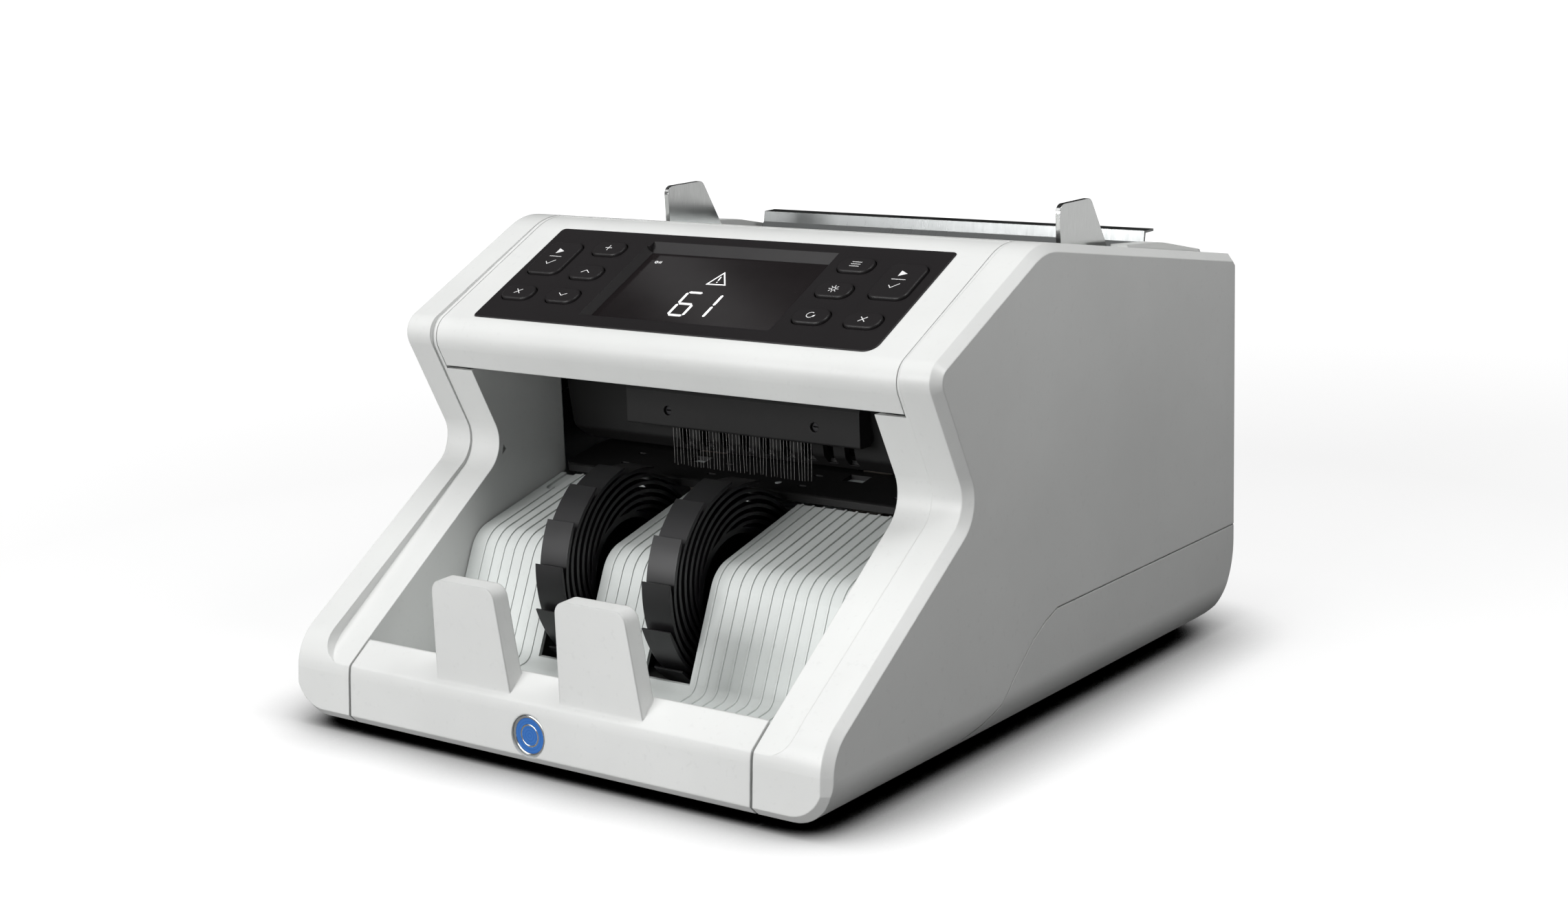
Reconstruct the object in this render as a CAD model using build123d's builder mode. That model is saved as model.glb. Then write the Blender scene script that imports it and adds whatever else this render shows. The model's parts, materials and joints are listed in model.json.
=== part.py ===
"""Banknote counter: moulded body, control panel, hopper, feed path and stacker.

Millimetres, +X to the machine's right, -Y to the front, +Z up, resting on z = 0.
"""
import os
from math import atan2, cos, hypot, pi, radians, sin

from build123d import *

os.makedirs("parts", exist_ok=True)

# ---- driving dimensions -------------------------------------------------
WIDTH, DEPTH = 250.0, 295.0
HALF_W, HALF_D = WIDTH / 2, DEPTH / 2
GUIDE_TOP = 184.0            # top of the two hopper guides
UNDERSIDE = 4.1              # moulded underside, feet below it
WALL = 2.5
EDGE_CHAMFER = 3.2
BOTTOM_RADIUS = 16.0
STEP_X = 109.4               # half width of the recessed centre of the front
POCKET_X = 94.6              # half width of the stacker opening
HOUSING_X = 107.4            # half width of the upper housing
LIP_X = 93.6
SEAM_Z = 43.0
SEAM_GAP = 0.5

STACKER_AXIS = (-55.0, 49.0)
TRANSPORT_AXIS = (14.0, 71.4)
PINCH_AXIS = (14.0, 90.2)
FEED_AXIS = (66.0, 114.0)
RETARD_AXIS = (44.4, 112.0)
MOTOR_AXIS = (76.0, 40.0)
GUIDE_RAIL_AXIS = (87.5, 111.0)
SHAFT_R = 4.0
BUSH_R = 7.0
RUNNING_CLEARANCE = 0.05
CHASSIS_X = 104.5
CHASSIS_T = 1.5

WHEEL_X = (-38.0, 13.5)      # centres of the two stacker wheels
WHEEL_W = 14.0
WHEEL_HUB_R = 24.0
WHEEL_BORE_R = 21.7
BLADES = 15

# outlines in the YZ plane: (y, z) corners and the radius each one gets
OUTER = [
    ((-5.5, 178.6), 30), ((-79.9, 143.1), 8), ((-54.5, 92.0), 13), ((-145.6, 31.8), 20),
    ((-HALF_D, 7.3), 0), ((-144.3, UNDERSIDE), 0), ((HALF_D, UNDERSIDE), 33),
    ((HALF_D, 151.7), 0), ((144.3, 155.2), 0),
]
CENTRE = [
    ((-5.5, 178.2), 28), ((-78.6, 142.3), 9), ((-53.6, 91.4), 14), ((-136.2, 33.2), 0),
    ((-145.8, 26.2), 2.5), ((-HALF_D, 7.3), 0), ((-144.3, UNDERSIDE), 0),
    ((HALF_D, UNDERSIDE), 33), ((HALF_D, 151.7), 0), ((144.3, 155.2), 0),
]


def save(piece, node):
    piece.part.label = node
    export_step(piece.part, f"parts/{node}.step")


def yz_face(corners, inset=0.0):
    """Face in the YZ plane from (point, radius) corners or bare points."""
    corners = [c if isinstance(c[0], tuple) else (c, 0) for c in corners]
    with BuildSketch(Plane.YZ) as shape:
        with BuildLine():
            Polyline(*[p for p, _ in corners], close=True)
        make_face()
        for point, radius in corners:
            if radius:
                fillet(shape.vertices().sort_by_distance(point)[0], radius)
        if inset:
            offset(amount=-inset, kind=Kind.INTERSECTION, mode=Mode.REPLACE)
    return shape.sketch


def at_x(face, x):
    return face.moved(Location((x, 0, 0)))


def block(x, y, z, mode=Mode.ADD):
    """Box between (low, high) limits on each axis."""
    with Locations(((x[0] + x[1]) / 2, (y[0] + y[1]) / 2, (z[0] + z[1]) / 2)):
        return Box(x[1] - x[0], y[1] - y[0], z[1] - z[0], mode=mode)


def rod(axis, radius, x, mode=Mode.ADD):
    """Cylinder along X between two x limits, about a (y, z) axis."""
    with Locations(Location(((x[0] + x[1]) / 2, axis[0], axis[1]), (0, 90, 0))):
        return Cylinder(radius, x[1] - x[0], mode=mode)


def z_rod(x, y, radius, z, mode=Mode.ADD):
    with Locations((x, y, (z[0] + z[1]) / 2)):
        return Cylinder(radius, z[1] - z[0], mode=mode)


# ---- body envelope ------------------------------------------------------
with BuildPart() as side_prism:
    extrude(yz_face(OUTER), amount=HALF_W, both=True)
    for side in (0, -1):
        chamfer(side_prism.faces().sort_by(Axis.X)[side].edges(), EDGE_CHAMFER)

with BuildPart() as front_prism:
    with BuildSketch(Plane.XZ.offset(-HALF_D)) as front_shape:
        with Locations((0, UNDERSIDE + 100)):
            Rectangle(WIDTH, 200)
        fillet(front_shape.vertices().group_by(Axis.Y)[0], BOTTOM_RADIUS)
    extrude(amount=DEPTH)
    chamfer(front_prism.faces().sort_by(Axis.Y)[0].edges(), EDGE_CHAMFER)

# recess that lowers the centre of the front below the two side bands
with BuildPart() as recess:
    with BuildSketch(Plane.XZ) as recess_shape:
        with Locations((0, 26.0 + 100)):
            Rectangle(2 * STEP_X, 200)
        fillet(recess_shape.vertices().group_by(Axis.Y)[0], 10)
    extrude(amount=HALF_D + 5)
    extrude(yz_face(CENTRE), amount=HALF_W, both=True, mode=Mode.SUBTRACT)

with BuildPart() as body:
    add(side_prism.part)
    add(front_prism.part, mode=Mode.INTERSECT)
    add(recess.part, mode=Mode.SUBTRACT)

with BuildPart() as cavity:
    extrude(yz_face(CENTRE, inset=WALL), amount=HALF_W - WALL, both=True)
    fillet(cavity.edges().filter_by(Axis.Y).group_by(Axis.Z)[0], BOTTOM_RADIUS - WALL)

with BuildPart() as shell:
    add(body.part)
    add(cavity.part, mode=Mode.SUBTRACT)

SEAM_LINE = [(200, SEAM_Z), (0.5, SEAM_Z), (-7.9, 40.1), (-16.8, 35.3), (-30.2, 24.9), (-38.9, 16.8),
             (-49.6, 12.4), (-60.0, 9.5), (-70.0, -5.0)]
BASE_REGION = SEAM_LINE + [(200, -5.0)]

# ---- base ---------------------------------------------------------------
BOARD_POSTS = [(x, y) for x in (-60, 20) for y in (-8, 58)]
with BuildPart() as base_housing:
    add(shell.part)
    extrude(yz_face(BASE_REGION), amount=HALF_W, both=True, mode=Mode.INTERSECT)
    for x in (-85, 85):
        for y in (-30, 100):
            z_rod(x, y, 5, (UNDERSIDE + 2, 14))
    for x, y in BOARD_POSTS:
        z_rod(x, y, 3.5, (UNDERSIDE + 2, 12))
    for row in range(7):
        block((-30, 30), (20 + row * 6, 23 + row * 6), (0, 8), Mode.SUBTRACT)
save(base_housing, "base_housing")

with BuildPart() as rubber_feet:
    for x in (-98, 98):
        for y in (-118, 98):
            z_rod(x, y, 8, (0, UNDERSIDE - 0.02))
    chamfer(rubber_feet.faces().group_by(Axis.Z)[0].edges(), 0.8)
save(rubber_feet, "rubber_feet")

# ---- ramp outline, shared by the side walls and the ribbed ramp ---------
RAMP_TOP = [((-22.0, 75.6), 0), ((-74.2, 62.6), 14), ((-93.0, 20.5), 6), ((-133.6, 15.6), 0)]
RAMP_T = 2.2


def ramp_strip(above, below, ends=RAMP_TOP):
    """Closed outline following the ramp between two offsets of its top line."""
    return yz_face([(((y - 0.35 * above), z + above), r) for (y, z), r in ends]
                   + [(((y + 0.35 * below), z - below), max(r - 2, 0)) for (y, z), r in reversed(ends)])


BACK_WALL_Y = -19.0
INNER_WALL = [(-136.0, 10), (-133.9, 34), (-53.6, 91.4), (-78.6, 130), (BACK_WALL_Y, 130), (BACK_WALL_Y, 76.6),
              (-22.0, 72.9), (-73.2, 60.1), (-92.2, 18.0), (-133.5, 13.0)]


def side_panel(side):
    """Side moulding: outer skin, front band and the wall of the stacker pocket."""
    with BuildPart() as panel:
        add(shell.part)
        block((min(0, side * 130), max(0, side * 130)), (-150, 150), (0, 200), Mode.INTERSECT)
        block((-POCKET_X, POCKET_X), (-150, 27.4), (0, 200), Mode.SUBTRACT)
        block((-POCKET_X, POCKET_X), (27, 150), (0, 200), Mode.SUBTRACT)
        # room for the upper housing, the top cover and the base
        block((-HOUSING_X - 0.3, HOUSING_X + 0.3), (-100, 27.4), (125.7, 200), Mode.SUBTRACT)
        block((-STEP_X, STEP_X), (27, 150), (SEAM_Z, 200), Mode.SUBTRACT)
        extrude(yz_face([(y, z + SEAM_GAP) for y, z in SEAM_LINE] + [(200, -6)]), amount=HALF_W,
                both=True, mode=Mode.SUBTRACT)
    wall = yz_face(INNER_WALL)
    with BuildPart() as inner:
        extrude(at_x(wall, min(side * POCKET_X, side * (POCKET_X + WALL))), amount=WALL)
        add(body.part, mode=Mode.INTERSECT)
        block((-130, 130), (-150, 150), (0, 125.7), Mode.INTERSECT)
    with BuildPart() as joined:
        add(panel.part)
        add(inner.part)
    return joined


left_side_panel = side_panel(-1)
save(left_side_panel, "left_side_panel")
right_side_panel = side_panel(1)
save(right_side_panel, "right_side_panel")

# ---- front tray with its two note stops --------------------------------
STOP_FRONT, STOP_BACK, STOP_TOP = -143.6, -136.4, 65.5
STOPS = [(-51.0, -21.0, -15.0), (8.0, 39.5, 46.0)]       # left edge, top right, bottom right
BADGE = (-4.6, 14.6)
TRAY_REAR = -64.8
with BuildPart() as front_tray:
    add(body.part)
    extrude(yz_face([(-200, 0), (-200, 60), (-136.2, 60), (-134.2, 14), (-132.0, UNDERSIDE + 2.2),
                     (TRAY_REAR, UNDERSIDE + 2.2), (TRAY_REAR, 0)]), amount=LIP_X, both=True, mode=Mode.INTERSECT)
    for left, top_right, low_right in STOPS:
        with BuildSketch(Plane.XZ.offset(-STOP_BACK)) as stop_shape:
            with BuildLine():
                Polyline((left, 20), (left, STOP_TOP), (top_right, STOP_TOP), (low_right, 27.5),
                         (low_right + 6, 20), close=True)
            make_face()
            fillet(stop_shape.vertices().group_by(Axis.Y)[-1], 5)
        extrude(amount=STOP_BACK - STOP_FRONT, taper=1.5)
    with Locations(Location((BADGE[0], -HALF_D + 0.6, BADGE[1]), (90, 0, 0))):
        Cylinder(7.8, 5.0, mode=Mode.SUBTRACT)
save(front_tray, "front_tray")

with BuildPart() as front_badge:
    with Locations(Location((BADGE[0], -HALF_D + 2.2, BADGE[1]), (90, 0, 0))):
        Cylinder(7.65, 1.6)
save(front_badge, "front_badge")

# ---- ribbed ramp --------------------------------------------------------
RIB_PITCH, RIB_W, RIB_H = 5.0, 0.9, 0.5
SLOTS = [(centre - 10.2, centre + 11.4) for centre in WHEEL_X]
SLOT_FOOT_Z = 22.8
THUMB_X, THUMB_Y, THUMB_W, THUMB_L = 89.2, -27.0, 5.0, 18.0    # shallow recess at each top corner
RAMP_X = POCKET_X - 0.4
with BuildPart() as stacker_ramp:
    extrude(ramp_strip(0, RAMP_T), amount=RAMP_X, both=True)
    rib = ramp_strip(RIB_H, 1.0)
    for step in range(-18, 18):
        x = (step + 0.5) * RIB_PITCH
        if all(x < low - 1 or x > high + 1 for low, high in SLOTS):
            extrude(at_x(rib, x - RIB_W / 2), amount=RIB_W)
    for low, high in SLOTS:
        block((low, high), (-99.5, -15.0), (SLOT_FOOT_Z, 80), Mode.SUBTRACT)
    for x in (-THUMB_X, THUMB_X):
        with BuildPart(mode=Mode.PRIVATE) as thumb_recess:
            extrude(at_x(ramp_strip(2.0, 0.9), x - THUMB_W), amount=2 * THUMB_W)
            with BuildSketch(Plane.XY):
                with Locations((x, THUMB_Y)):
                    SlotOverall(THUMB_L, THUMB_W, rotation=90)
            extrude(amount=100, mode=Mode.INTERSECT)
        add(thumb_recess.part, mode=Mode.SUBTRACT)
save(stacker_ramp, "stacker_ramp")

# ---- black exit plate behind the wheels ---------------------------------
PLATE_X = 93.2
PLATE = [(-22.6, 76.8), (-22.6, 79.4), (-21.8, 80.0), (2.0, 83.6), (24.0, 83.6), (24.0, 81.4), (2.4, 81.4)]
WINDOWS = [((-41.0, -33.0), (-5.4, 0.4)), ((34.0, 43.5), (-5.4, 1.0))]
SPOT = (10.4, -14.5)                            # small round sensor
DIMPLES = [(x, y) for x in (-66.0, -22.0, 22.0, 66.0) for y in (-15.0, -4.0)]
with BuildPart() as exit_plate:
    extrude(yz_face(PLATE), amount=PLATE_X, both=True)
    with Locations((-PLATE_X, -22.6, 80), (PLATE_X, -22.6, 80)):
        Box(5, 5, 12, rotation=(0, 0, 45), mode=Mode.SUBTRACT)
    for x, y in WINDOWS:
        block(x, y, (70, 90), Mode.SUBTRACT)
    for x in (-40, 40):
        block((x - 8, x + 8), (7.0, 21.0), (70, 90), Mode.SUBTRACT)
    for x, y in DIMPLES:
        with BuildSketch(Plane.XY.offset(70)):
            with Locations((x, y)):
                SlotOverall(4.0, 1.6)
        extrude(amount=20, mode=Mode.SUBTRACT)
    z_rod(SPOT[0], SPOT[1], 1.4, (75, 90), Mode.SUBTRACT)
save(exit_plate, "exit_plate")

with BuildPart() as sensor_windows:
    for x, y in WINDOWS:
        block((x[0] + 0.1, x[1] - 0.1), (y[0] + 0.1, y[1] - 0.1), (79.8, 81.6))
    z_rod(SPOT[0], SPOT[1], 1.3, (78.0, 81.0))
save(sensor_windows, "sensor_windows")

# ---- black back cover of the pocket and the anti-static brush -----------
BACK_COVER = [((-19.0, 126.4), 0), ((-13.8, 93.5), 3), ((-9.0, 88.4), 2), ((-2.0, 88.4), 0), ((-2.0, 90.4), 0),
              ((-8.0, 90.4), 1), ((-11.4, 94.5), 1), ((-16.6, 126.4), 0)]
with BuildPart() as back_cover:
    extrude(yz_face(BACK_COVER), amount=PLATE_X, both=True)
    with BuildSketch(Plane.XZ) as back_outline:
        with Locations((0, 88 + 50)):
            Rectangle(2 * PLATE_X, 100)
        fillet(back_outline.vertices().group_by(Axis.Y)[0], 9)
    extrude(amount=60, both=True, mode=Mode.INTERSECT)
    for slot in range(9):
        x = -35.0 + 9.9 * slot
        block((x - 2.3, x + 2.3), (-30, -9.4), (90.5, 101.0), Mode.SUBTRACT)
save(back_cover, "back_cover")

BRUSH_X = 56.0
BRUSH = [((-24.2, 100.3), 0.8), ((-24.2, 114.0), 0), ((-21.4, 120.0), 0), ((-21.4, 126.4), 0), ((-19.2, 126.4), 0),
         ((-15.4, 102.2), 0), ((-17.0, 100.3), 0)]
with BuildPart() as brush_bar:
    extrude(yz_face(BRUSH), amount=BRUSH_X, both=True)
    for x in (-35.3, 35.3):
        with Locations(Location((x, -24.2, 106.8), (90, 0, 0))):
            Cylinder(1.9, 5.0, mode=Mode.SUBTRACT)
save(brush_bar, "brush_bar")

with BuildPart() as brush_screws:
    for x in (-35.3, 35.3):
        with Locations(Location((x, -22.5, 106.8), (90, 0, 0))):
            Cylinder(1.75, 1.2)
            Box(2.4, 0.5, 3.0, mode=Mode.SUBTRACT)
save(brush_screws, "brush_screws")

BRISTLES, BRISTLE_PITCH, BRISTLE_Y = 42, 1.62, -21.6
with BuildPart() as brush_bristles:
    with Locations((-1.5, BRISTLE_Y, (84.7 + 100.2) / 2)):
        with GridLocations(BRISTLE_PITCH, 1, BRISTLES, 1):
            Cylinder(0.14, 100.2 - 84.7)
save(brush_bristles, "brush_bristles")

# ---- upper housing ------------------------------------------------------
SLOPE = atan2(178.2 - 142.3, 78.6 - 5.5)
PANEL_Y = -69.0
PANEL = Plane(origin=(0, PANEL_Y, 142.3 + (PANEL_Y + 78.6) * (178.2 - 142.3) / (78.6 - 5.5)),
              x_dir=(1, 0, 0), z_dir=(0, -sin(SLOPE), cos(SLOPE)))
PANEL_SIDE = Plane(origin=PANEL.origin, x_dir=(0, cos(SLOPE), sin(SLOPE)), z_dir=(1, 0, 0))
PANEL_END = Plane(origin=PANEL.origin, x_dir=(1, 0, 0), z_dir=(0, cos(SLOPE), sin(SLOPE)))
PANEL_W, PANEL_L = 187.4, 61.8
RECESS_DEPTH = 2.6
with BuildPart() as upper_housing:
    add(shell.part)
    block((-HOUSING_X, HOUSING_X), (-100, 26.8), (126.9, 200), Mode.INTERSECT)
    block((-HOUSING_X, HOUSING_X), (-70.0, 26.8), (126.9, 129.2))
    for x in (-HOUSING_X, HOUSING_X - 2.2):
        extrude(at_x(yz_face(CENTRE, inset=0.6), x), amount=2.2)
    block((-HOUSING_X, HOUSING_X), (-100, 26.8), (126.9, 200), Mode.INTERSECT)
    with BuildSketch(PANEL.offset(-RECESS_DEPTH)) as panel_recess:
        with Locations((0, PANEL_L / 2)):
            Rectangle(PANEL_W + 0.4, PANEL_L + 0.4)
        fillet(panel_recess.vertices().sort_by_distance((PANEL_W / 2, 0))[0], 5.2)
        fillet(panel_recess.vertices().sort_by_distance((-PANEL_W / 2, 0))[0], 2.2)
        fillet(panel_recess.vertices().group_by(Axis.Y)[-1], 2.2)
    extrude(amount=10, mode=Mode.SUBTRACT)
    with BuildSketch(PANEL.offset(-RECESS_DEPTH - 9)) as panel_hole:
        with Locations((0, PANEL_L / 2)):
            Rectangle(PANEL_W - 5, PANEL_L - 5)
    extrude(amount=12, mode=Mode.SUBTRACT)
save(upper_housing, "upper_housing")

# ---- control panel, keys and display ------------------------------------
KEY_W, KEY_L, KEY_GAP, KEY_TRAVEL = 15.0, 8.8, 0.45, 0.8
START_W, START_L = 16.4, 21.4
KEYS = {
    "key_start_left": (-81.4, 40.2, True), "key_clear_left": (-82.0, 16.4, False),
    "key_add": (-59.8, 48.8, False), "key_up": (-59.4, 32.4, False), "key_down": (-59.6, 16.5, False),
    "key_batch": (57.5, 48.8, False), "key_lamp": (57.5, 32.8, False), "key_auto": (57.6, 16.3, False),
    "key_start_right": (80.6, 40.6, True), "key_clear_right": (80.1, 16.3, False),
}
WELL = (-42.7, 45.0, 6.6, 53.4)
WELL_DEPTH = 3.0
PANEL_PROUD = 0.3


def key_outline(x, s, large, grow=0.0):
    """Rounded key outline on the panel, as a local sketch."""
    width, length = (START_W, START_L) if large else (KEY_W, KEY_L)
    with BuildSketch() as outline:
        with Locations((x, s)):
            RectangleRounded(width + 2 * grow, length + 2 * grow, 3.9 + grow)
    return outline.sketch


with BuildPart() as control_panel:
    with BuildSketch(PANEL.offset(-RECESS_DEPTH + 0.1)) as panel_shape:
        with Locations((0, PANEL_L / 2)):
            Rectangle(PANEL_W, PANEL_L)
        fillet(panel_shape.vertices().sort_by_distance((PANEL_W / 2, 0))[0], 5)
        fillet(panel_shape.vertices().sort_by_distance((-PANEL_W / 2, 0))[0], 2)
        fillet(panel_shape.vertices().group_by(Axis.Y)[-1], 2)
    extrude(amount=RECESS_DEPTH - 0.1 + PANEL_PROUD)
    chamfer(control_panel.faces().sort_by(Axis.Z)[-1].edges(), 0.25)
    with BuildSketch(PANEL.offset(-WELL_DEPTH - 2.0)) as well_wall:
        with Locations(((WELL[0] + WELL[1]) / 2, (WELL[2] + WELL[3]) / 2)):
            Rectangle(WELL[1] - WELL[0] + 3, WELL[3] - WELL[2] + 3)
    extrude(amount=WELL_DEPTH)
    with BuildSketch(PANEL.offset(-20)) as well_hole:
        with Locations(((WELL[0] + WELL[1]) / 2, (WELL[2] + WELL[3]) / 2)):
            RectangleRounded(WELL[1] - WELL[0], WELL[3] - WELL[2], 1.5)
    extrude(amount=30, mode=Mode.SUBTRACT)
    with BuildSketch(PANEL_SIDE.offset(WELL[0])) as well_bevel:
        with BuildLine():
            Polyline((WELL[3] - 1, -WELL_DEPTH), (WELL[3], -WELL_DEPTH), (WELL[3] + 3.4, PANEL_PROUD + 0.2),
                     (WELL[3] - 1, PANEL_PROUD + 0.2), close=True)
        make_face()
    extrude(amount=WELL[1] - WELL[0], mode=Mode.SUBTRACT)
    with BuildSketch(PANEL_END.offset(WELL[2])) as side_bevel:
        with BuildLine():
            Polyline((WELL[0] + 1, WELL_DEPTH), (WELL[0], WELL_DEPTH), (WELL[0] - 1.7, -PANEL_PROUD - 0.2),
                     (WELL[0] + 1, -PANEL_PROUD - 0.2), close=True)
        make_face()
    extrude(amount=WELL[3] - WELL[2], mode=Mode.SUBTRACT)
    for x, s, large in KEYS.values():
        extrude(PANEL.offset(-5) * key_outline(x, s, large, KEY_GAP), amount=10, mode=Mode.SUBTRACT)
save(control_panel, "control_panel")

for node, (x, s, large) in KEYS.items():
    with BuildPart() as key:
        extrude(PANEL.offset(-2.2) * key_outline(x, s, large), amount=3.7)
        top = key.faces().sort_by(Axis((0, 0, 0), tuple(PANEL.z_dir)))[-1]
        fillet(top.edges(), 0.7)
        extrude(PANEL.offset(-3.0) * key_outline(x, s, large, -2.2), amount=1.0)
    save(key, node)

with BuildPart() as display_window:
    with BuildSketch(PANEL.offset(-WELL_DEPTH - 1.5)) as window_shape:
        with Locations(((WELL[0] + WELL[1]) / 2, (WELL[2] + WELL[3]) / 2)):
            RectangleRounded(WELL[1] - WELL[0] - 0.2, WELL[3] - WELL[2] - 0.2, 1.4)
    extrude(amount=1.5)
save(display_window, "display_window")

with BuildPart() as display_module:
    with BuildSketch(PANEL.offset(-WELL_DEPTH - 7.0)) as module_shape:
        with Locations((1, 30)):
            Rectangle(80, 42)
    extrude(amount=5.3)
    with BuildSketch(PANEL.offset(-WELL_DEPTH - 8.4)) as module_board:
        with Locations((1, 30)):
            Rectangle(84, 50)
    extrude(amount=1.4)
save(display_module, "display_module")

BOARD_TOP = -6.2
with BuildPart() as key_board:
    for x0, x1 in ((-92, -47), (49, 91)):
        with BuildSketch(PANEL.offset(BOARD_TOP - 1.6)) as board_shape:
            with Locations(((x0 + x1) / 2, 31)):
                Rectangle(x1 - x0, 54)
        extrude(amount=1.6)
    for x, s, large in KEYS.values():
        with BuildSketch(PANEL.offset(BOARD_TOP)) as switch_shape:
            with Locations((x, s)):
                Rectangle(6, 6)
        extrude(amount=1.4)
        with BuildSketch(PANEL.offset(BOARD_TOP)) as plunger_shape:
            with Locations((x, s)):
                Circle(1.7)
        extrude(amount=-BOARD_TOP - 3.9)
save(key_board, "key_board")

# ---- top cover with the hopper mouth, rear wall and door ----------------
MOUTH_X, MOUTH_Y = 101.6, (41.4, 132.0)
DOOR = ((-58.0, 92.0), (55.6, 138.0))
DOOR_HINGE, HINGE_PIN_R = (145.4, 58.4), 1.2
CROWN = [((84, 150), 0), ((84, 165.6), 0), ((112, 163.2), 60), ((144.3, 156.4), 0), ((146, 154), 0), ((146, 150), 0)]
with BuildPart() as top_cover:
    add(shell.part)
    extrude(yz_face(CROWN), amount=HALF_W - EDGE_CHAMFER, both=True)
    extrude(yz_face(CENTRE, inset=WALL + 2), amount=HALF_W, both=True, mode=Mode.SUBTRACT)
    block((-STEP_X + 0.3, STEP_X - 0.3), (27.2, 150), (SEAM_Z + SEAM_GAP, 200), Mode.INTERSECT)
    block((-MOUTH_X, MOUTH_X), MOUTH_Y, (100, 200), Mode.SUBTRACT)
    block(DOOR[0], (140, 150), DOOR[1], Mode.SUBTRACT)
    block((-98, -70), (140, 150), (54.0, 78.0), Mode.SUBTRACT)
    block((-94.2, -73.8), (140, 150), (88.0, 102.0), Mode.SUBTRACT)
    rod(DOOR_HINGE, HINGE_PIN_R + RUNNING_CLEARANCE, (DOOR[0][0] - 3.2, DOOR[0][1] + 3.2), Mode.SUBTRACT)
save(top_cover, "top_cover")

with BuildPart() as rear_door:
    block((DOOR[0][0] + 0.6, DOOR[0][1] - 0.6), (145.0, HALF_D), (DOOR[1][0] + 1.3, DOOR[1][1] - 0.6))
    rod(DOOR_HINGE, 1.8, (DOOR[0][0] + 4, DOOR[0][1] - 4))
    for row in range(8):
        block((-36, 70), (140, 150), (76 + row * 5, 78 + row * 5), Mode.SUBTRACT)
    with Locations((17, HALF_D, 132)):
        Box(26, 2.4, 7, mode=Mode.SUBTRACT)
    rod(DOOR_HINGE, HINGE_PIN_R, (DOOR[0][0] - 3, DOOR[0][1] + 3))
save(rear_door, "rear_door")

# ---- hopper -------------------------------------------------------------
TRAY_T = 2.5
TRAY_X, TRAY_WALL_X = 103.6, 101.2
FLOOR_Z = 123.0
FRONT_WALL = [(38.6, 166.4), (41.1, 166.4), (52.4, 126.0), (52.4, 120.5), (49.9, 120.5), (49.9, 125.6)]
REAR_BED = [(57.4, 120.5), (57.4, FLOOR_Z), (94.2, FLOOR_Z), (118.0, 153.4), (121.2, 153.4), (95.4, 120.5)]
TRAY_END = [(38.6, 166.4), (49.9, 120.5), (95.4, 120.5), (121.2, 153.4)]
ROLLER_X = (-22.0, 22.0)
GUIDE_X = 95.3
STEM_Y = (84.2, 90.8)
with BuildPart() as hopper_tray:
    extrude(yz_face(FRONT_WALL), amount=TRAY_WALL_X, both=True)
    extrude(yz_face(REAR_BED), amount=TRAY_WALL_X, both=True)
    for x in (-TRAY_X, TRAY_WALL_X):
        extrude(at_x(yz_face(TRAY_END), x), amount=TRAY_X - TRAY_WALL_X)
    for x in ROLLER_X:
        block((x - 9, x + 9), (50, 80), (100, 130), Mode.SUBTRACT)
    for side in (-1, 1):
        low, high = sorted((side * 54.0, side * 98.0))
        block((low, high), (STEM_Y[0] - 0.7, STEM_Y[1] + 0.7), (110, 130), Mode.SUBTRACT)
save(hopper_tray, "hopper_tray")

REAR_PLATE = [(95.14, 126.07), (122.6, 161.2), (123.4, 165.7), (131.0, 165.7), (131.0, 164.7), (124.4, 164.7),
              (123.6, 160.9), (95.93, 125.45)]
with BuildPart() as hopper_rear_plate:
    extrude(yz_face(REAR_PLATE), amount=GUIDE_X, both=True)
save(hopper_rear_plate, "hopper_rear_plate")

with BuildPart() as guide_rail:
    rod(GUIDE_RAIL_AXIS, 3.0, (-CHASSIS_X + 0.1, CHASSIS_X - 0.1))
save(guide_rail, "guide_rail")

GUIDE = [((56.2, FLOOR_Z + 0.8), 1), ((54.4, GUIDE_TOP), 3.5), ((78.2, GUIDE_TOP), 4), ((91.0, 163.0), 6),
         ((93.0, 144.0), 4), (STEM_Y[1:] + (126.0,), 0), (STEM_Y[1:] + (106.5,), 1), (STEM_Y[:1] + (106.5,), 1),
         (STEM_Y[:1] + (FLOOR_Z + 0.8,), 0)]
GUIDE_T = 2.0
for side, node in ((-1, "left_note_guide"), (1, "right_note_guide")):
    with BuildPart() as guide:
        extrude(at_x(yz_face(GUIDE), side * GUIDE_X - GUIDE_T / 2), amount=GUIDE_T)
        foot = sorted((side * (GUIDE_X + GUIDE_T / 2), side * (GUIDE_X - 7)))
        block(foot, STEM_Y, (106.5, 107.7))
        rod(GUIDE_RAIL_AXIS, 3.0 + RUNNING_CLEARANCE, (side * GUIDE_X - 4, side * GUIDE_X + 4), Mode.SUBTRACT)
    save(guide, node)

# ---- note path between the hopper throat and the exit -------------------
ARC = (26.0, 114.0)
PATH_X = 88.0


def curved_guide(inner, outer, tail):
    """Quarter-turn sheet about ARC with a straight run forward to y = tail."""
    with BuildPart() as guide_sheet:
        with BuildSketch(Plane.YZ) as arc_face:
            with Locations(ARC):
                Circle(outer)
                Circle(inner, mode=Mode.SUBTRACT)
            with Locations((ARC[0] + 50, ARC[1] - 50)):
                Rectangle(100, 100, mode=Mode.INTERSECT)
        extrude(amount=PATH_X, both=True)
        block((-PATH_X, PATH_X), (tail, ARC[0]), (ARC[1] - outer, ARC[1] - inner))
    return guide_sheet


with BuildPart() as lower_path_guide:
    add(curved_guide(30.7, 32.7, 24.6).part)
    for x in ROLLER_X:
        block((x - 9, x + 9), (50, 62), (98, 116), Mode.SUBTRACT)
save(lower_path_guide, "lower_path_guide")

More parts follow.
